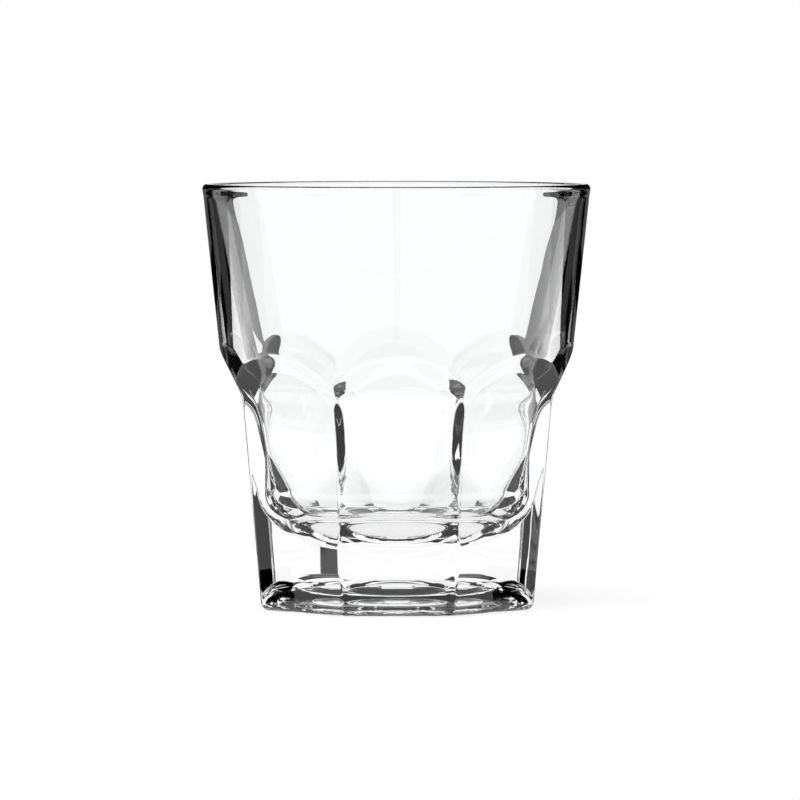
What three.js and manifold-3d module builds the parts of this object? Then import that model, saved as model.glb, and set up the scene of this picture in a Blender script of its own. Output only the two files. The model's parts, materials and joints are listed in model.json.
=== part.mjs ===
// A rocks glass: one piece of clear pressed glass.
// The upper half is a plain round cone that opens towards the mouth. Below a sloping shoulder the wall
// is pressed into eight flat panels, inside and out. Inside, the panels round off into a bowl. The foot is
// a thick solid block of glass whose underside is hollowed so that the glass stands on a narrow ring.
// Millimetres, +Z up, origin at the middle of the face it stands on, one panel facing -Y.

import * as THREE from 'three';
import { mergeVertices } from 'three/addons/utils/BufferGeometryUtils.js';
import Module from 'manifold-3d';

// Overall
const HEIGHT = 91.5;
const RIM_DIAMETER = 84;
const PANELS = 8;

// Outside: the round cone and the panelled lower half
const CONE_DRAFT = 5.9;
const BASE_ACROSS_FLATS = 58.4;
const PANEL_DRAFT = 5.05;
const SHOULDER_FOOT_HEIGHT = 46.5;
const SHOULDER_LEAN = 28.8;
const SHOULDER_FILLET = 8;
const RIDGE_RADIUS = 1.4;
const HEEL_RADIUS = 1.7;

// Inside: the round bore, the panelled well under it and the bowl of the floor
const RIM_WALL = 2.4;
const BORE_DRAFT = 10.9;
const WELL_TOP_ACROSS_FLATS = 58;
const WELL_TOP_HEIGHT = 44.5;
const WELL_DRAFT = 15.1;
const WELL_SHOULDER_LEAN = 26.6;
const WELL_SHOULDER_FILLET = 12;
const WELL_RIDGE_RADIUS = 2.5;
const WELL_ROUNDS_FROM = 41;
const WELL_ROUND_HEIGHT = 22.5;
const BOWL_HEIGHT = 26;
const BOWL_SQUARENESS = 1.8;
const FLOOR_HEIGHT = 13.6;

// Underside hollow
const HOLLOW_DIAMETER = 49.6;
const HOLLOW_DEPTH = 8.8;
const HOLLOW_SQUARENESS = 2.5;

// Fineness of the facets, and how far a cutting body runs past what it cuts
const ROUND_STEPS = 96;
const RIDGE_STEPS = 6;
const ARC_STEPS = 6;
const DOME_STEPS = 12;
const WELL_STEPS = 6;
const RUN_OUT = 5;

const slope = (degrees) => Math.tan(THREE.MathUtils.degToRad(degrees));

// A profile point is a Vector2 of radius and height. A corner with a radius becomes a run of points
// on the arc that touches both of its sides; a corner without one stays sharp.
function filleted(corners) {
  const points = [];
  corners.forEach((corner, i) => {
    const at = new THREE.Vector2(corner.r, corner.z);
    if (!corner.radius) {
      points.push(at);
      return;
    }
    const before = new THREE.Vector2(corners[i - 1].r, corners[i - 1].z).sub(at).normalize();
    const after = new THREE.Vector2(corners[i + 1].r, corners[i + 1].z).sub(at).normalize();
    const half = Math.acos(before.dot(after)) / 2;
    const reach = corner.radius / Math.tan(half);
    const centre = before.clone().add(after).setLength(corner.radius / Math.sin(half)).add(at);
    const first = before.clone().multiplyScalar(reach).add(at).sub(centre);
    const last = after.clone().multiplyScalar(reach).add(at).sub(centre);
    const sweep = Math.atan2(first.cross(last), first.dot(last));
    for (let k = 0; k <= ARC_STEPS; k++) {
      points.push(first.clone().rotateAround(new THREE.Vector2(), (sweep * k) / ARC_STEPS).add(centre));
    }
  });
  return points;
}

// A domed profile from its edge to its middle: a quarter of an ellipse, or of a squarer curve like it.
function domed(edgeRadius, edgeHeight, middleHeight, squareness) {
  const points = [];
  for (let k = 0; k < DOME_STEPS; k++) {
    const turn = (k / DOME_STEPS) * (Math.PI / 2);
    points.push({
      r: edgeRadius * Math.cos(turn) ** (2 / squareness),
      z: edgeHeight + (middleHeight - edgeHeight) * Math.sin(turn) ** (2 / squareness),
    });
  }
  points.push({ r: 0, z: middleHeight });
  return points;
}

const wasm = await Module();
wasm.setup();

function solid(geometry) {
  geometry.deleteAttribute('normal');
  geometry.deleteAttribute('uv');
  const merged = mergeVertices(geometry);
  return new wasm.Manifold(new wasm.Mesh({
    numProp: 3,
    vertProperties: new Float32Array(merged.attributes.position.array),
    triVerts: new Uint32Array(merged.index.array),
  }));
}

// A round body: the profile turned about the vertical axis.
function revolved(corners) {
  return solid(new THREE.LatheGeometry(filleted(corners), ROUND_STEPS).rotateX(Math.PI / 2));
}

// One ring of a panelled body: flat sides joined by rounded ridges.
function panelRing(apothem, height, ridgeRadius) {
  const radius = Math.min(ridgeRadius, apothem);
  const halfPanel = Math.PI / PANELS;
  const toCentre = (apothem - radius) / Math.cos(halfPanel);
  const ring = [];
  for (let panel = 0; panel < PANELS; panel++) {
    const ridge = -Math.PI / 2 + (2 * panel + 1) * halfPanel;
    for (let k = 0; k <= RIDGE_STEPS; k++) {
      const facing = ridge + halfPanel * ((2 * k) / RIDGE_STEPS - 1);
      ring.push(
        toCentre * Math.cos(ridge) + radius * Math.cos(facing),
        toCentre * Math.sin(ridge) + radius * Math.sin(facing),
        height,
      );
    }
  }
  return ring;
}

// A panelled body: rings carried up the profile, which gives the distance from the axis to the flats.
// The profile starts and ends on the axis. The ridge radius may change with the point on the profile.
function panelled(corners, ridgeRadiusAt) {
  const profile = filleted(corners);
  const bottom = profile[0];
  const top = profile[profile.length - 1];
  const rings = profile.slice(1, -1).map((p) => panelRing(p.x, p.y, ridgeRadiusAt(p)));
  const around = PANELS * (RIDGE_STEPS + 1);
  const positions = [0, 0, bottom.y, ...rings.flat(), 0, 0, top.y];
  const last = 1 + rings.length * around;
  const at = (ring, k) => 1 + ring * around + (k % around);
  const faces = [];
  for (let k = 0; k < around; k++) {
    faces.push(0, at(0, k + 1), at(0, k));
    for (let ring = 0; ring < rings.length - 1; ring++) {
      faces.push(at(ring, k), at(ring, k + 1), at(ring + 1, k + 1));
      faces.push(at(ring, k), at(ring + 1, k + 1), at(ring + 1, k));
    }
    faces.push(last, at(rings.length - 1, k), at(rings.length - 1, k + 1));
  }
  const geometry = new THREE.BufferGeometry();
  geometry.setAttribute('position', new THREE.Float32BufferAttribute(positions, 3));
  geometry.setIndex(faces);
  return solid(geometry);
}

// The lip is a full round between the outer cone and the bore.
const lipRadius = RIM_WALL / 2;
const lipMiddle = RIM_DIAMETER / 2 - lipRadius;
const lipHeight = HEIGHT - lipRadius;
const boreRadius = (z) => RIM_DIAMETER / 2 - RIM_WALL + slope(BORE_DRAFT) * (z - lipHeight);
const coneRadius = (z) => RIM_DIAMETER / 2 + slope(CONE_DRAFT) * (z - lipHeight);
const beyondWall = RIM_DIAMETER / 2 + RUN_OUT;

// A straight side that leans out from a known point, followed until it is clear of the round wall.
function leanPastWall(from, lean) {
  return { r: beyondWall, z: from.z + (beyondWall - from.r) / slope(lean) };
}

const shoulderFoot = {
  r: BASE_ACROSS_FLATS / 2 + slope(PANEL_DRAFT) * SHOULDER_FOOT_HEIGHT,
  z: SHOULDER_FOOT_HEIGHT,
  radius: SHOULDER_FILLET,
};
const outerCone = revolved([
  { r: 0, z: -RUN_OUT },
  { r: coneRadius(-RUN_OUT), z: -RUN_OUT },
  { r: coneRadius(HEIGHT), z: HEIGHT, radius: lipRadius },
  { r: 0, z: HEIGHT },
]);
const outerPanels = panelled([
  { r: 0, z: 0 },
  { r: BASE_ACROSS_FLATS / 2, z: 0, radius: HEEL_RADIUS },
  shoulderFoot,
  leanPastWall(shoulderFoot, SHOULDER_LEAN),
  { r: beyondWall, z: HEIGHT + RUN_OUT },
  { r: 0, z: HEIGHT + RUN_OUT },
], () => RIDGE_RADIUS);

const wellTop = {
  r: WELL_TOP_ACROSS_FLATS / 2,
  z: WELL_TOP_HEIGHT,
  radius: WELL_SHOULDER_FILLET,
};
const wellFlat = (z) => wellTop.r - slope(WELL_DRAFT) * (wellTop.z - z);

// The corners of the well grow rounder downwards, until its ring is a circle.
function wellRidge(point) {
  const share = THREE.MathUtils.smoothstep(-point.y, -WELL_ROUNDS_FROM, -WELL_ROUND_HEIGHT);
  return THREE.MathUtils.lerp(WELL_RIDGE_RADIUS, point.x, share);
}
const bore = revolved([
  { r: 0, z: 0 },
  { r: boreRadius(0), z: 0 },
  { r: boreRadius(lipHeight), z: lipHeight },
  { r: boreRadius(lipHeight), z: HEIGHT, radius: lipRadius },
  { r: lipMiddle, z: HEIGHT },
  { r: lipMiddle, z: HEIGHT + RUN_OUT },
  { r: 0, z: HEIGHT + RUN_OUT },
]);
const wellSide = [];
for (let k = 1; k < WELL_STEPS; k++) {
  const z = THREE.MathUtils.lerp(BOWL_HEIGHT, WELL_TOP_HEIGHT, k / WELL_STEPS);
  wellSide.push({ r: wellFlat(z), z });
}
const well = panelled([
  ...domed(wellFlat(BOWL_HEIGHT), BOWL_HEIGHT, FLOOR_HEIGHT, BOWL_SQUARENESS).reverse(),
  ...wellSide,
  wellTop,
  leanPastWall(wellTop, WELL_SHOULDER_LEAN),
  { r: beyondWall, z: HEIGHT + 2 * RUN_OUT },
  { r: 0, z: HEIGHT + 2 * RUN_OUT },
], wellRidge);

const hollow = revolved([
  { r: 0, z: -RUN_OUT },
  { r: HOLLOW_DIAMETER / 2, z: -RUN_OUT },
  ...domed(HOLLOW_DIAMETER / 2, 0, HOLLOW_DEPTH, HOLLOW_SQUARENESS),
]);

const glass = outerCone.intersect(outerPanels).subtract(bore.intersect(well)).subtract(hollow);

function geometryOf(body) {
  const { vertProperties, triVerts } = body.getMesh();
  const geometry = new THREE.BufferGeometry();
  geometry.setAttribute('position', new THREE.BufferAttribute(vertProperties, 3));
  geometry.setIndex(new THREE.BufferAttribute(triVerts, 1));
  geometry.computeVertexNormals();
  return geometry;
}

const tumbler = new THREE.Mesh(
  geometryOf(glass),
  new THREE.MeshStandardMaterial({
    color: 0xf4f8f8,
    roughness: 0.03,
    metalness: 0,
    transparent: true,
    opacity: 0.35,
  }),
);
tumbler.name = 'tumbler';

const rocksGlass = new THREE.Group();
rocksGlass.add(tumbler);

export default rocksGlass;
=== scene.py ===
# %% [markdown]
# # A rocks glass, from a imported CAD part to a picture
#
# The object is a heavy pressed tumbler: one piece of clear glass with a round mouth, a panelled lower
# half and a thick foot. Clear glass has almost no colour of its own, so its looks come from three things:
# an exact surface, inside as well as outside, the way glass bends light, and what stands round it to be
# seen through it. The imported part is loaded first, and everything below is made in its frame, in metres.

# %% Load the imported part
import json
import math

import bpy
import numpy as np
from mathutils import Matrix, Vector

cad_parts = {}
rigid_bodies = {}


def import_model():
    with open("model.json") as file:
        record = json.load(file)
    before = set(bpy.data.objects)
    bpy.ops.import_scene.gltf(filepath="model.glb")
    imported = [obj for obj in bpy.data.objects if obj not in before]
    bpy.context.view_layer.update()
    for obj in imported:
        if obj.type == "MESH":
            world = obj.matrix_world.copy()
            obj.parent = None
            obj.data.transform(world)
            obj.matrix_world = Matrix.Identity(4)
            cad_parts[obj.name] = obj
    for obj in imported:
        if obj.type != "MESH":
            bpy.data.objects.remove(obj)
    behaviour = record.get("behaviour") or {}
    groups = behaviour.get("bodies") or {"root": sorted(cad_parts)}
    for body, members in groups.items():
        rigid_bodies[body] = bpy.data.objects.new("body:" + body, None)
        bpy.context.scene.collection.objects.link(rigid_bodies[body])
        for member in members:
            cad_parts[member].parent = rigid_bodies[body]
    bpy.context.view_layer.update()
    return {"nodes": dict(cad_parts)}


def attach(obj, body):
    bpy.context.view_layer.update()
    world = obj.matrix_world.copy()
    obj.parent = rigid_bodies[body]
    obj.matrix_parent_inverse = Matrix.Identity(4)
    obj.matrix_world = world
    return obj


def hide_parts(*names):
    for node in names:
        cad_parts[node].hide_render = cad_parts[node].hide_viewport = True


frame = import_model()
print("nodes:", ", ".join(frame["nodes"]))

# %% [markdown]
# ## The camera
# The rim and the foot show as very thin ellipses, so the glass was seen from far away and only a little
# from above. A short lens close by would open the ellipses and swell the front, so a long lens stands
# almost one and a half metres away. Its aim is a point near the middle of the glass.

# %% Camera
CAMERA_DISTANCE, CAMERA_HEIGHT = 1.423, 0.114
CAMERA_TURN = math.radians(-1.0)
AIM_HEIGHT, AIM_RIGHT = 0.0447, 0.00078
SENSOR_WIDTH, LENS = 36, 296

camera = bpy.data.objects.new("camera", bpy.data.cameras.new("camera"))
bpy.context.scene.collection.objects.link(camera)
bpy.context.scene.camera = camera
camera.data.sensor_width = SENSOR_WIDTH
camera.data.lens = LENS
away = Vector((-math.sin(CAMERA_TURN), math.cos(CAMERA_TURN), 0))
right = Vector((math.cos(CAMERA_TURN), math.sin(CAMERA_TURN), 0))
camera.location = -CAMERA_DISTANCE * away + Vector((0, 0, CAMERA_HEIGHT))
aim = AIM_RIGHT * right + Vector((0, 0, AIM_HEIGHT))
camera.rotation_euler = (aim - camera.location).to_track_quat("-Z", "Y").to_euler()
bpy.context.scene.view_settings.view_transform = "Standard"
print("camera to aim:", round((aim - camera.location).length, 3), "m")

# %% [markdown]
# ## Angles round the glass
# The whole skin of the glass is one surface of two parameters: the angle round the axis, and the way
# along a profile that runs from the middle of the underside, out and up the outside, over the lip and
# down the inside to the middle of the floor. A spin of one profile would do for a round glass, but the
# lower half has eight panels, so the radius has to depend on both parameters. The angles lie closer
# together at the ridges between the panels, because that is where the surface turns sharply.

# %% Angles
PANELS = 8
HALF_PANEL = math.pi / PANELS
STEPS_PER_PANEL = 36
EVEN_SHARE = 0.15


def panel_angles(steps):
    """Angles round the axis, zero at the middle of the front panel. In each panel a running value from -1 to
    1 becomes the half panel angle times a mix of the value itself, by the even share, and of the sine of a
    quarter turn times the value, which crowds the steps at the ridges."""
    value = np.arange(steps) / steps * 2 - 1
    crowded = np.sin(value * np.pi / 2)
    one = HALF_PANEL * (EVEN_SHARE * value + (1 - EVEN_SHARE) * crowded)
    return (one + 2 * HALF_PANEL * np.arange(PANELS)[:, None]).ravel()


angle = panel_angles(STEPS_PER_PANEL)
print(len(angle), "angles, closest", round(float(np.degrees(np.diff(angle).min())), 3), "degrees apart")

# %% [markdown]
# ## Four small formulas
# The skin is worked out in millimetres, as a drawing of a glass would be. A panelled ring is an octagon
# whose corners are arcs. Two surfaces that meet in pressed glass never meet in a knife edge, so the
# smaller of two radii is taken with a soft change-over. A wall that starts to lean out at some height is
# a straight line plus a ramp that begins there, with a rounded start. And what changes from one state to
# another does it along an S curve.

# %% Ring, soft minimum, ramp and S curve
ROUNDEST_CORNER = 0.999


def panelled(flat, corner, angle):
    """Radius of an eight-sided ring with rounded corners. On a flat it is the distance to the flat over the
    cosine of the angle from the panel's middle. On a corner it is where the ray meets an arc of the corner
    radius, whose centre lies on the ridge line so that the arc touches both flats. A corner radius stays
    just under the distance to the flat, where the ring is round."""
    corner = np.minimum(corner, ROUNDEST_CORNER * flat)
    from_middle = np.abs((angle + HALF_PANEL) % (2 * HALF_PANEL) - HALF_PANEL)
    from_ridge = HALF_PANEL - from_middle
    centre = (flat - corner) / np.cos(HALF_PANEL)
    arc = centre * np.cos(from_ridge)
    arc = arc + np.sqrt(np.maximum(corner**2 - (centre * np.sin(from_ridge)) ** 2, 0))
    touch = np.arctan2((flat - corner) * np.tan(HALF_PANEL), flat)
    return np.where(from_middle > touch, arc, flat / np.cos(from_middle))


def soft_smaller(a, b, reach):
    """The smaller of a and b. Where they differ by less than the reach, a parabola joins them smoothly."""
    near = np.maximum(reach - np.abs(a - b), 0) / reach
    return np.minimum(a, b) - near * near * reach / 4


def ramp(height, start, spread):
    """Zero below the start and rising one for one above it, with the bend rounded over the spread:
    the spread times the logarithm of one plus the exponential of (height less start) over the spread."""
    return spread * np.logaddexp(0, (height - start) / spread)


def s_curve(way):
    """From zero to one, level at both ends: the square of the way times (three less twice the way)."""
    return way * way * (3 - 2 * way)


print("without rounding, a ridge lies", round(1 / math.cos(HALF_PANEL), 3), "times as far out as a flat")

# %% [markdown]
# ## The outside
# Above, the wall is a plain cone. Below, eight flat panels lean a little outwards, and at the shoulder
# each panel turns out until it runs into the cone. The arches could be cut into a round body one by one,
# but a flat that leans out and a cone meet in an arch anyway. So the arched tops of the panels and the
# pointed spandrels between them come by themselves from taking the smaller radius.

# %% Outside wall
HEIGHT = 91.5
CONE_RADIUS, CONE_LEVEL, CONE_LEAN = 38.17, 54.5, 0.1033
FOOT_FLAT, PANEL_LEAN = 29.2, 0.088
SHOULDER_LEVEL, SHOULDER_LEAN, SHOULDER_SPREAD = 46.5, 0.55, 0.9
RIDGE_RADIUS = 1.4
ARCH_BLEND = 0.35


def cone(height):
    """Radius of the round upper wall: a straight line in the height."""
    return CONE_RADIUS + CONE_LEAN * (height - CONE_LEVEL)


def panel_flat(height):
    """Distance from the axis to a panel: a straight line, plus the ramp of the shoulder."""
    turned_out = ramp(height, SHOULDER_LEVEL, SHOULDER_SPREAD)
    return FOOT_FLAT + PANEL_LEAN * height + (SHOULDER_LEAN - PANEL_LEAN) * turned_out


def outside(height, angle):
    """The softly smaller of the cone and the panelled ring, at each height and angle."""
    ring = panelled(panel_flat(height), RIDGE_RADIUS, angle)
    return soft_smaller(cone(height), ring, ARCH_BLEND)


at_shoulder = outside(SHOULDER_LEVEL, np.array([0, HALF_PANEL]))
print("outside at the shoulder's foot, panel and ridge:", np.round(at_shoulder, 2), "mm")

# %% [markdown]
# ## The inside
# The bore narrows faster than the outside, so the wall thickens from the lip down. Under it the plunger
# that pressed the glass was panelled too, but its corners grow rounder towards the bottom, until the
# floor is a round bowl. That is why the dark lines at the ridges fade out above the floor. The inside has
# the same formulas as the outside, with its own sizes and with a corner radius that changes with the
# height.

# %% Inside wall
BORE_RADIUS, BORE_LEVEL, BORE_LEAN = 33.74, 57.7, 0.1924
WELL_FLAT, WELL_LEVEL, WELL_LEAN = 25.7, 34.0, 0.17
WELL_SHOULDER_LEVEL, WELL_SHOULDER_LEAN, WELL_SHOULDER_SPREAD = 41.0, 0.5, 1.8
WELL_CORNER = 2.0
ROUND_FROM, ROUND_BY = 36.0, 22.0
WELL_BLEND = 0.6


def bore(height):
    """Radius of the round part of the inside: a straight line in the height."""
    return BORE_RADIUS + BORE_LEAN * (height - BORE_LEVEL)


def well_flat(height):
    """Distance from the axis to an inner panel: a straight line, plus the ramp of the inner shoulder."""
    turned_out = ramp(height, WELL_SHOULDER_LEVEL, WELL_SHOULDER_SPREAD)
    straight = WELL_FLAT + WELL_LEAN * (height - WELL_LEVEL)
    return straight + (WELL_SHOULDER_LEAN - WELL_LEAN) * turned_out


def well_corner(height, flat):
    """Corner radius of the well: small at the top, and changing along an S curve to the whole distance to
    the flat, which makes the ring a circle."""
    way = np.clip((ROUND_FROM - height) / (ROUND_FROM - ROUND_BY), 0, 1)
    return WELL_CORNER + s_curve(way) * (flat - WELL_CORNER)


def inside(height, angle):
    """The softly smaller of the bore and the panelled ring of the well."""
    flat = well_flat(height)
    return soft_smaller(bore(height), panelled(flat, well_corner(height, flat), angle), WELL_BLEND)


wall_in_well = outside(WELL_LEVEL, 0.0) - inside(WELL_LEVEL, 0.0)
print("wall at the middle of a panel,", WELL_LEVEL, "mm up:", np.round(wall_in_well, 2), "mm")

# %% [markdown]
# ## The profile in rows
# The rows are made piece by piece: the dome under the foot, the flat ring it stands on, the rounded heel,
# the outside, the bead and the lip, the inside and the bowl of the floor. Each piece is a block of radii
# and one of heights, with one row for each step along the profile and one column for each angle, and the
# blocks are stacked into one grid. Evenly spaced rows would waste triangles on the straight walls, so
# most of the rows lie where the profile bends.


# %% Blocks of rows
def column(values):
    """The values as a column, so that each of them goes with a whole row of angles."""
    return np.asarray(values, float)[:, None]


def block(radius, height):
    """The radii and heights of some rows, spread over every angle."""
    shape = len(height), len(angle)
    return np.broadcast_to(radius, shape), np.broadcast_to(height, shape)


def superellipse(steps, power):
    """Two runs of numbers whose powers add up to one: the cosine and sine of a quarter turn, each to two
    over the power. Power 2 is a circle, and a higher power is squarer."""
    turn = np.linspace(0, np.pi / 2, steps)
    return np.cos(turn) ** (2 / power), np.sin(turn) ** (2 / power)


print("a block has", len(angle), "columns")

# %% Underside, standing ring and heel
DOME_RADIUS, DOME_DEPTH, DOME_POWER = 24.8, 8.8, 2.5
HEEL_RADIUS = 1.7
DOME_ROWS, STAND_ROWS, HEEL_ROWS = 34, 9, 12

rise, reach = superellipse(DOME_ROWS, DOME_POWER)
dome = block(column(DOME_RADIUS * reach), column(DOME_DEPTH * rise))

ring_edge = panelled(FOOT_FLAT - HEEL_RADIUS, RIDGE_RADIUS, angle)
across = column(np.linspace(0, 1, STAND_ROWS)[1:])
stand = block((1 - across) * DOME_RADIUS + across * ring_edge, 0 * across)

turn = column(np.linspace(0, np.pi / 2, HEEL_ROWS)[1:])
heel_height = HEEL_RADIUS * (1 - np.cos(turn))
heel_flat = panel_flat(heel_height) - HEEL_RADIUS * (1 - np.sin(turn))
heel = block(panelled(heel_flat, RIDGE_RADIUS, angle), heel_height)
print("rows under the foot:", len(dome[1]) + len(stand[1]) + len(heel[1]))

# %% Outside and bead
BEAD, BEAD_REACH, LIP_HEIGHT = 0.1, 3.0, 1.15
ARCHES_FROM, ARCHES_TO = 42, 60
PANEL_ROWS, ARCH_ROWS, CONE_ROWS, BEAD_ROWS = 20, 76, 10, 9

bead_level, lip_level = HEIGHT - BEAD_REACH, HEIGHT - LIP_HEIGHT
levels = column(np.concatenate([
    np.linspace(HEEL_RADIUS, ARCHES_FROM, PANEL_ROWS)[1:],
    np.linspace(ARCHES_FROM, ARCHES_TO, ARCH_ROWS)[1:],
    np.linspace(ARCHES_TO, bead_level, CONE_ROWS)[1:],
]))
wall = block(outside(levels, angle), levels)

way = column(np.linspace(0, 1, BEAD_ROWS)[1:])
bead_height = bead_level + way * (BEAD_REACH - LIP_HEIGHT)
bead = block(cone(bead_height) + BEAD * s_curve(way), bead_height)
print("rows outside:", len(wall[1]) + len(bead[1]))

# %% Lip
LIP_ROWS = 24

lip_outer, lip_inner = cone(lip_level) + BEAD, bore(lip_level)
lip_middle, lip_half = (lip_outer + lip_inner) / 2, (lip_outer - lip_inner) / 2
turn = column(np.linspace(0, np.pi, LIP_ROWS)[1:-1])
lip = block(lip_middle + lip_half * np.cos(turn), lip_level + LIP_HEIGHT * np.sin(turn))
print("lip", round(float(lip_outer - lip_inner), 2), "mm thick")

# %% Inside and the bowl of the floor
INNER_ARCHES_FROM = 36
BOWL_LEVEL, FLOOR_LEVEL, BOWL_POWER = 26.0, 14.0, 2.2
BORE_ROWS, INNER_ARCH_ROWS, WELL_ROWS, BOWL_ROWS = 14, 70, 18, 54
SMALLEST_RADIUS = 1e-6

levels = column(np.concatenate([
    np.linspace(lip_level, ARCHES_TO, BORE_ROWS),
    np.linspace(ARCHES_TO, INNER_ARCHES_FROM, INNER_ARCH_ROWS)[1:],
    np.linspace(INNER_ARCHES_FROM, BOWL_LEVEL, WELL_ROWS)[1:],
]))
inner_wall = block(inside(levels, angle), levels)

inwards, down = superellipse(BOWL_ROWS, BOWL_POWER)
bowl_height = column(BOWL_LEVEL - (BOWL_LEVEL - FLOOR_LEVEL) * down[1:])
bowl_flat = np.maximum(column(well_flat(BOWL_LEVEL) * inwards[1:]), SMALLEST_RADIUS)
bowl_corner = np.minimum(well_corner(bowl_height, bowl_flat), bowl_flat)
bowl = block(panelled(bowl_flat, bowl_corner, angle), bowl_height)
print("rows inside:", len(inner_wall[1]) + len(bowl[1]))

# %% All rows
MM = 0.001

blocks = [dome, stand, heel, wall, bead, lip, inner_wall, bowl]
radius = np.vstack([rows for rows, _ in blocks]) * MM
height = np.vstack([rows for _, rows in blocks]) * MM
print("grid of", radius.shape, "with radii up to", round(float(radius.max()) / MM, 2), "mm")

# %% [markdown]
# ## From the grid to a closed skin
# The first and last rows are single points, so they become one vertex each with a fan of triangles, and
# all the rows between are joined by quads that wrap round. A wall could also be made from one sheet by
# Solidify, but here the inside has a form of its own. Nothing is left open: light has to enter and leave
# glass through a closed surface, or the renderer can't tell inside from outside.

# %% Closed skin
CUBIC_METRE_IN_ML = 1e6


def closed_skin(name, radius, height, angle):
    """A mesh from a grid of radii: each point is (radius times sine of the angle, minus radius times cosine,
    height), the end rows shrink to a pole, and quads join each row to the next. The signed volume is a
    third of the sum of each quad's first corner dotted with its next two crossed. It is above zero if the
    faces point outwards."""
    rows, columns = radius.shape
    points = np.stack([radius * np.sin(angle), -radius * np.cos(angle), height], -1)
    poles = points[[0, -1]].mean(1)
    vertices = np.vstack([poles[:1], points[1:-1].reshape(-1, 3), poles[1:]])
    grid = 1 + np.arange((rows - 2) * columns).reshape(rows - 2, columns)
    ahead = np.roll(grid, -1, 1)
    quads = np.stack([grid[:-1], ahead[:-1], ahead[1:], grid[1:]], -1).reshape(-1, 4)
    first = np.stack([0 * grid[0], ahead[0], grid[0]], -1)
    last = np.stack([0 * grid[0] + len(vertices) - 1, grid[-1], ahead[-1]], -1)
    mesh = bpy.data.meshes.new(name)
    mesh.from_pydata(vertices, [], quads.tolist() + first.tolist() + last.tolist())
    mesh.shade_smooth()
    piece = bpy.data.objects.new(name, mesh)
    bpy.context.scene.collection.objects.link(piece)
    a, b, c = (vertices[quads[:, k]] for k in range(3))
    volume = np.einsum("ij,ij->i", a, np.cross(b, c)).sum() / 3 * CUBIC_METRE_IN_ML
    triangles = 2 * len(quads) + len(first) + len(last)
    print(name, "has", triangles, "triangles and a signed volume of", round(volume, 1), "ml")
    return piece


tumbler = closed_skin("glass_tumbler", radius, height, angle)
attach(tumbler, "root")
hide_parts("tumbler")

# %% [markdown]
# ## The glass
# Pressed glass is clear and bends light strongly. The Principled shader with full transmission and the
# refractive index of soda-lime glass does both. Two small helpers set up nodes here and in the materials
# further down.

# %% Glass shader
GLASS_INDEX = 1.52


def add_node(tree, kind, values):
    """A new node of a kind, with each named input set to its value."""
    node = tree.nodes.new(kind)
    for name, value in values.items():
        node.inputs[name].default_value = value
    return node


def combine(tree, operation, first, second):
    """The result of a Math node that puts two values together by an operation."""
    node = tree.nodes.new("ShaderNodeMath")
    node.operation = operation
    tree.links.new(first, node.inputs[0])
    tree.links.new(second, node.inputs[1])
    return node.outputs["Value"]


glass = bpy.data.materials.new("clear_pressed_glass")
glass.use_nodes = True
tree = glass.node_tree
shader = tree.nodes["Principled BSDF"]
shader.inputs["Transmission Weight"].default_value = 1.0
shader.inputs["IOR"].default_value = GLASS_INDEX
where = tree.nodes.new("ShaderNodeTexCoord").outputs["Object"]
tumbler.data.materials.append(glass)
print(glass.name, "with an index of", GLASS_INDEX)

# %% [markdown]
# ## Ripple and stipple
# The skin of pressed glass is not perfect. The hot glass keeps faint ripples from the mould, so the edges
# of dark reflections waver a little, and the ring it stands on is stippled so that scratches don't show.
# Both are too fine to model, so they are bumps in the normal: a wide, very low noise all over, and a fine
# cell pattern that a mask keeps to the lowest millimetre or so.

# %% Bumps
RIPPLE_SCALE, RIPPLE_DETAIL, RIPPLE_STRENGTH, RIPPLE_DEPTH = 90.0, 1.5, 0.04, 0.0004
STIPPLE_SCALE, STIPPLE_STRENGTH, STIPPLE_DEPTH = 900.0, 0.25, 0.0003
STIPPLE_FULL_BELOW, STIPPLE_NONE_ABOVE = 0.0004, 0.0016

ripple = add_node(tree, "ShaderNodeTexNoise", {"Scale": RIPPLE_SCALE, "Detail": RIPPLE_DETAIL})
stipple = add_node(tree, "ShaderNodeTexVoronoi", {"Scale": STIPPLE_SCALE})
split = tree.nodes.new("ShaderNodeSeparateXYZ")
for pattern in (ripple, stipple, split):
    tree.links.new(where, pattern.inputs["Vector"])
low = add_node(tree, "ShaderNodeMapRange", {
    "From Min": STIPPLE_FULL_BELOW, "From Max": STIPPLE_NONE_ABOVE, "To Min": 1.0, "To Max": 0.0,
})
tree.links.new(split.outputs["Z"], low.inputs["Value"])
pitted = combine(tree, "MULTIPLY", stipple.outputs["Distance"], low.outputs["Result"])

waver = add_node(tree, "ShaderNodeBump", {"Strength": RIPPLE_STRENGTH, "Distance": RIPPLE_DEPTH})
pits = add_node(tree, "ShaderNodeBump", {"Strength": STIPPLE_STRENGTH, "Distance": STIPPLE_DEPTH})
tree.links.new(ripple.outputs["Fac"], waver.inputs["Height"])
tree.links.new(pitted, pits.inputs["Height"])
tree.links.new(waver.outputs["Normal"], pits.inputs["Normal"])
tree.links.new(pits.outputs["Normal"], shader.inputs["Normal"])
print("two bumps on", glass.name)

# %% [markdown]
# ## Tint and haze
# Thick glass has a trace of cool colour, and a washed glass is nowhere quite free of haze. Both follow
# the ripple, so that they change slowly over the surface, and both stay so weak that the glass looks
# clear.

# %% Tint and haze
COOL_TINT, CLEAR_TINT = (0.985, 0.995, 0.992, 1), (1, 1, 1, 1)
MOST_HAZE = 0.012

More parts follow.
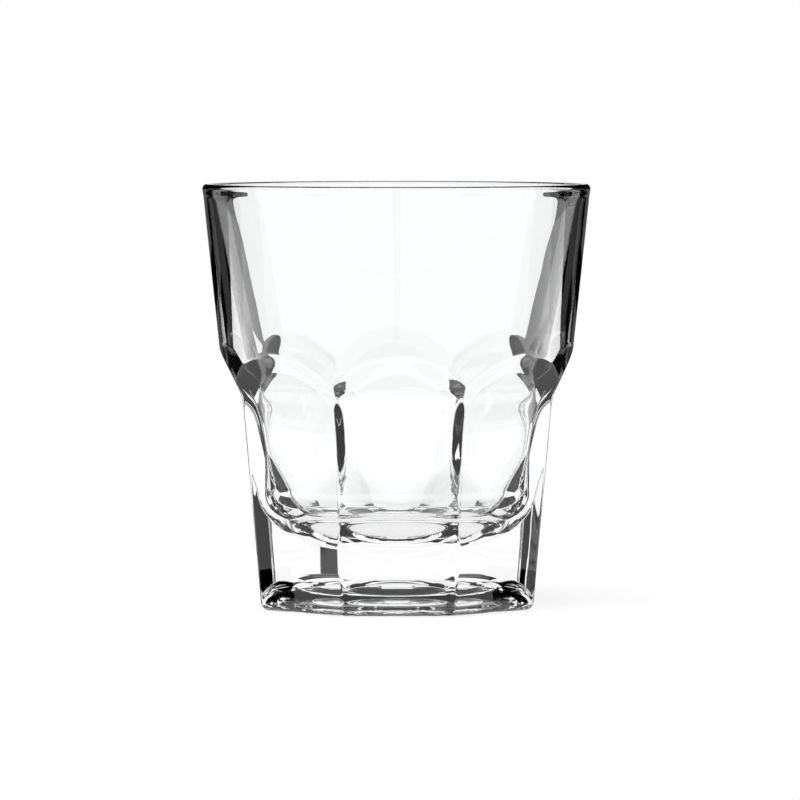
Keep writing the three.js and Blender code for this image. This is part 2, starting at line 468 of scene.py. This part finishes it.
tint = tree.nodes.new("ShaderNodeValToRGB")
tint.color_ramp.elements[0].color = COOL_TINT
tint.color_ramp.elements[1].color = CLEAR_TINT
haze = add_node(tree, "ShaderNodeMapRange", {"To Min": 0.0, "To Max": MOST_HAZE})
tree.links.new(ripple.outputs["Fac"], tint.inputs["Fac"])
tree.links.new(ripple.outputs["Fac"], haze.inputs["Value"])
tree.links.new(tint.outputs["Color"], shader.inputs["Base Color"])
tree.links.new(haze.outputs["Result"], shader.inputs["Roughness"])
print(glass.name, "with", len(tree.nodes), "nodes")

# %% [markdown]
# ## Floor and backdrop
# The floor is plain and pale. Strong lamps could make it white, but they would also light the shadow
# away. So seen straight, in a reflection or through the glass it is white at a strength of one. Near the
# glass a share of real light is mixed in, so that the glass leaves a faint shadow, and the share fades
# out with the distance, so that no horizon shows. The world behind the floor is white in the same three
# cases, and a dim grey for everything else, so that it adds little light.


# %% White where it is seen
def seen_white(tree):
    """A mask that is one for a ray from the camera, from a gloss or through glass: the largest of them."""
    path = tree.nodes.new("ShaderNodeLightPath").outputs
    straight_or_gloss = combine(tree, "MAXIMUM", path["Is Camera Ray"], path["Is Glossy Ray"])
    return combine(tree, "MAXIMUM", straight_or_gloss, path["Is Transmission Ray"])


def mixed(tree, share, first, second):
    """A shader that is the first where the share is zero and the second where it is one."""
    mix = tree.nodes.new("ShaderNodeMixShader")
    tree.links.new(share, mix.inputs["Fac"])
    tree.links.new(first.outputs[0], mix.inputs[1])
    tree.links.new(second.outputs[0], mix.inputs[2])
    return mix.outputs["Shader"]


def plain_sheet(name, corners):
    """A flat sheet with one face through its corners."""
    mesh = bpy.data.meshes.new(name)
    mesh.from_pydata(corners, [], [tuple(range(len(corners)))])
    sheet = bpy.data.objects.new(name, mesh)
    bpy.context.scene.collection.objects.link(sheet)
    return sheet


def empty_material(name):
    """A material with nodes, but with nothing on its output yet."""
    material = bpy.data.materials.new(name)
    material.use_nodes = True
    material.node_tree.nodes.remove(material.node_tree.nodes["Principled BSDF"])
    return material


print("white for rays from the camera, from a gloss and through glass")

# %% Floor
FLOOR_REACH, FLOOR_DROP = 4.0, 0.0002
FLOOR_COLOUR = (0.9, 0.9, 0.9, 1)
SHADOW_SHARE, SHADOW_NEAR, SHADOW_FAR = 0.14, 0.08, 0.3

quarters = np.array([(-1, -1, 0), (1, -1, 0), (1, 1, 0), (-1, 1, 0)])
floor = plain_sheet("floor", FLOOR_REACH * quarters - (0, 0, FLOOR_DROP))
pale = empty_material("pale_floor")
tree = pale.node_tree
lit = add_node(tree, "ShaderNodeBsdfDiffuse", {"Color": FLOOR_COLOUR})
white = add_node(tree, "ShaderNodeEmission", {"Strength": 1.0})
from_glass = tree.nodes.new("ShaderNodeVectorMath")
from_glass.operation = "LENGTH"
tree.links.new(tree.nodes.new("ShaderNodeTexCoord").outputs["Object"], from_glass.inputs[0])
whiteness = add_node(tree, "ShaderNodeMapRange", {
    "From Min": SHADOW_NEAR, "From Max": SHADOW_FAR, "To Min": 1 - SHADOW_SHARE, "To Max": 1.0,
})
whiteness.interpolation_type = "SMOOTHSTEP"
tree.links.new(from_glass.outputs["Value"], whiteness.inputs["Value"])
share = combine(tree, "MULTIPLY", seen_white(tree), whiteness.outputs["Result"])
tree.links.new(mixed(tree, share, lit, white), tree.nodes["Material Output"].inputs["Surface"])
floor.data.materials.append(pale)
print("floor", 2 * FLOOR_REACH, "m wide")

# %% World
DIM_COLOUR, WHITE = (0.3, 0.3, 0.3, 1), (1, 1, 1, 1)

world = bpy.data.worlds.new("studio")
bpy.context.scene.world = world
world.use_nodes = True
tree = world.node_tree
dim = tree.nodes["Background"]
dim.inputs["Color"].default_value = DIM_COLOUR
bright = add_node(tree, "ShaderNodeBackground", {"Color": WHITE})
tree.links.new(mixed(tree, seen_white(tree), dim, bright), tree.nodes["World Output"].inputs["Surface"])
print("world white where it is seen")

# %% [markdown]
# ## Black flags
# On a white ground a clear glass would vanish, so photographers put black flags just outside the picture.
# Here the flags are sheets that glow with fixed shades, from black to grey, and take no light from the
# lamp: their shades are painted shade, and what the glass shows of them is a painted reflection. The
# middle of the glass shows the white gap between them, and wherever the glass bends the view sideways,
# at the edges, the ridges and the shoulder, it shows the black. All the sheets hang on one empty, so that
# the set can be turned as a whole, and it stands squarely behind the glass for the camera above. Only
# reflections and views through the glass meet the sheets: they are hidden from the camera, and they throw
# no shadow and no light.

# %% Studio set
# Painted shades that the sheets glow with: black, black for the floor cards, dark and grey for the strips.
BLACK, FLOOR_BLACK, DARK, GREY = 0.003, 0.01, 0.05, 0.14

studio_set = bpy.data.objects.new("studio_set", None)
bpy.context.scene.collection.objects.link(studio_set)
studio_set.rotation_euler.z = CAMERA_TURN


def painted_shade(name, shade):
    """A material that glows with one painted shade wherever it is seen, whatever light falls on it."""
    material = empty_material(name)
    tree = material.node_tree
    glow = add_node(tree, "ShaderNodeEmission", {"Color": (shade, shade, shade, 1)})
    tree.links.new(glow.outputs["Emission"], tree.nodes["Material Output"].inputs["Surface"])
    return material


def flag(name, corners, material):
    """A sheet of the set, which only reflections and views through the glass meet."""
    sheet = plain_sheet(name, corners)
    sheet.data.materials.append(material)
    sheet.parent = studio_set
    sheet.visible_camera = False
    sheet.visible_diffuse = False
    sheet.visible_shadow = False


# The sheets' materials, each glowing with its painted shade.
painted_black_shade, painted_floor_shade = painted_shade("painted_black_shade", BLACK), painted_shade("painted_floor_shade", FLOOR_BLACK)
painted_dark_shade, painted_grey_shade = painted_shade("painted_dark_shade", DARK), painted_shade("painted_grey_shade", GREY)
print("the set is turned by", round(math.degrees(CAMERA_TURN), 1), "degrees, like the camera")

# %% [markdown]
# ## Flags behind the glass
# Each flag behind the glass has three strips of painted shade. The strip next to the gap is grey and the
# next one dark, a painted shade that steps down from the white gap, because the wall above the shoulder
# shows these two as soft bands along its edges, and the rest is black. A notch low down keeps the thick
# foot clear. Higher up, where the shoulder looks, all is black, the gap is narrower, and a third flag
# closes it at the top. A grey patch there is a painted reflection for the lip, which looks over the
# shoulder's part.

# %% Sizes of the flags behind
FLAG_DISTANCE, STEP = 0.165, 0.0005
NOTCH_FOOT, NOTCH_TOP, GREY_TOP, NARROW_FROM = 0.0105, 0.023, 0.0535, 0.092
PATCH_FOOT, PATCH_TOP, GAP_TOP, SET_TOP = 0.067, 0.088, 0.17, 0.35
NOTCH_LEFT, NOTCH_RIGHT = 0.081, 0.067
GREY_LEFT, GREY_RIGHT = (0.0765, 0.0665, 0.0605), (0.06, 0.06, 0.06)
GAP_LEFT, GAP_RIGHT = 0.0615, 0.06
NARROW_LEFT, NARROW_RIGHT = 0.0465, 0.0455
GREY_WIDTH, DARK_WIDTH, PATCH_REACH, SET_REACH = 0.05, 0.046, 0.11, 0.6


def behind(name, side, levels, inner, outer, material, ahead=0.0):
    """A strip of a flag behind the glass. Its inner edge is given at each of its levels, and its outer edge
    is one distance for all of them. It may stand a step ahead of the other strips."""
    distance = FLAG_DISTANCE - ahead
    up = [(side * x, distance, z) for x, z in zip(inner, levels)]
    down = [(side * outer, distance, z) for z in reversed(levels)]
    flag(name, up + down, material)


print("gap of", round((GAP_LEFT + GAP_RIGHT) / MM), "mm behind the glass")

# %% Flags behind
for side, hand, notch, (foot, middle, top), gap, narrow in (
    (-1, "left", NOTCH_LEFT, GREY_LEFT, GAP_LEFT, NARROW_LEFT),
    (1, "right", NOTCH_RIGHT, GREY_RIGHT, GAP_RIGHT, NARROW_RIGHT),
):
    dark, black = gap + GREY_WIDTH, gap + GREY_WIDTH + DARK_WIDTH
    low = (0, NOTCH_FOOT, NOTCH_FOOT, NOTCH_TOP, NOTCH_TOP, GREY_TOP)
    # Grey and dark strips and the grey patch glow painted shades; the notch and the rest glow painted black.
    behind(hand + "_grey", side, low, (foot, foot, notch, notch, middle, top), dark, painted_grey_shade)
    behind(hand + "_dark", side, (0, GREY_TOP), (dark, dark), black, painted_dark_shade)
    behind(hand + "_black", side, (0, GREY_TOP), (black, black), SET_REACH, painted_black_shade)
    behind(hand + "_notch", side, (NOTCH_FOOT, NOTCH_TOP), (notch, notch), dark, painted_black_shade, STEP)
    behind(hand + "_patch", side, (PATCH_FOOT, PATCH_TOP), (gap, gap), PATCH_REACH, painted_grey_shade, STEP)
    high = (GREY_TOP, NARROW_FROM, SET_TOP)
    behind(hand + "_high", side, high, (gap, narrow, narrow), SET_REACH, painted_black_shade)
flag("top_flag", [
    (-NARROW_LEFT, FLAG_DISTANCE, GAP_TOP), (NARROW_RIGHT, FLAG_DISTANCE, GAP_TOP),
    (NARROW_RIGHT, FLAG_DISTANCE, SET_TOP), (-NARROW_LEFT, FLAG_DISTANCE, SET_TOP),
], painted_black_shade)
print(len(studio_set.children), "sheets behind the glass")

# %% [markdown]
# ## Cards beside the glass and a sheet above it
# The lower half of the inside bends the view down so far that it shows the floor beside the foot. A small
# card glowing painted black on each side gives the ridges and the well their dark lines, as a painted
# reflection. The hollow under the foot throws the view up instead, so a sheet of painted black overhead
# draws the dark band above the heel. At the right edge of the foot the light turns right round inside the
# glass, so what shows there is a small card of painted black high up in front.

# %% Cards beside, card in front and sheet above, all painted black
CARD_FRONT, CARD_BACK, CARD_FAR, CARD_LIFT = -0.02, 0.03, 0.072, 0.0003
CARD_FRONT_EDGE, CARD_BACK_EDGE = 0.0325, 0.041
FRONT_LEFT, FRONT_RIGHT, FRONT_FOOT, FRONT_TOP = -0.025, 0.02, 0.19, 0.29
FRONT_DISTANCE, ROOF_FRONT = -0.5, -0.45

# The cards and the overhead sheet glow painted black, which the glass shows as a painted reflection.
for side, hand in ((-1, "left"), (1, "right")):
    flag(hand + "_floor_card", [
        (side * CARD_FRONT_EDGE, CARD_FRONT, CARD_LIFT), (side * CARD_FAR, CARD_FRONT, CARD_LIFT),
        (side * CARD_FAR, CARD_BACK, CARD_LIFT), (side * CARD_BACK_EDGE, CARD_BACK, CARD_LIFT),
    ], painted_floor_shade)
flag("front_card", [
    (FRONT_LEFT, FRONT_DISTANCE, FRONT_FOOT), (FRONT_RIGHT, FRONT_DISTANCE, FRONT_FOOT),
    (FRONT_RIGHT, FRONT_DISTANCE, FRONT_TOP), (FRONT_LEFT, FRONT_DISTANCE, FRONT_TOP),
], painted_black_shade)
flag("painted_shade_roof", [
    (-SET_REACH, ROOF_FRONT, SET_TOP), (SET_REACH, ROOF_FRONT, SET_TOP),
    (SET_REACH, FLAG_DISTANCE, SET_TOP), (-SET_REACH, FLAG_DISTANCE, SET_TOP),
], painted_black_shade)
print("painted_shade", round(SET_TOP / MM), "mm up")

# %% [markdown]
# ## Lamp
# A hard lamp would draw a dark, sharp shadow that the white ground of such a picture doesn't have. One
# large soft lamp overhead lights the floor instead, so that the shadow under the foot is soft. It is kept
# out of reflections, where the flags and the white ground already give the glass its drawing.

# %% Lamp
LAMP_SIZE, LAMP_POWER, LAMP_PLACE = 1.2, 40.0, (-0.3, -0.5, 1.3)

lamp = bpy.data.objects.new("soft_lamp", bpy.data.lights.new("soft_lamp", "AREA"))
bpy.context.scene.collection.objects.link(lamp)
lamp.data.size = LAMP_SIZE
lamp.data.energy = LAMP_POWER
lamp.location = LAMP_PLACE
lamp.rotation_euler = (-lamp.location).to_track_quat("-Z", "Y").to_euler()
lamp.visible_glossy = False
lamp.visible_transmission = False
print("lamp of", LAMP_POWER, "W")
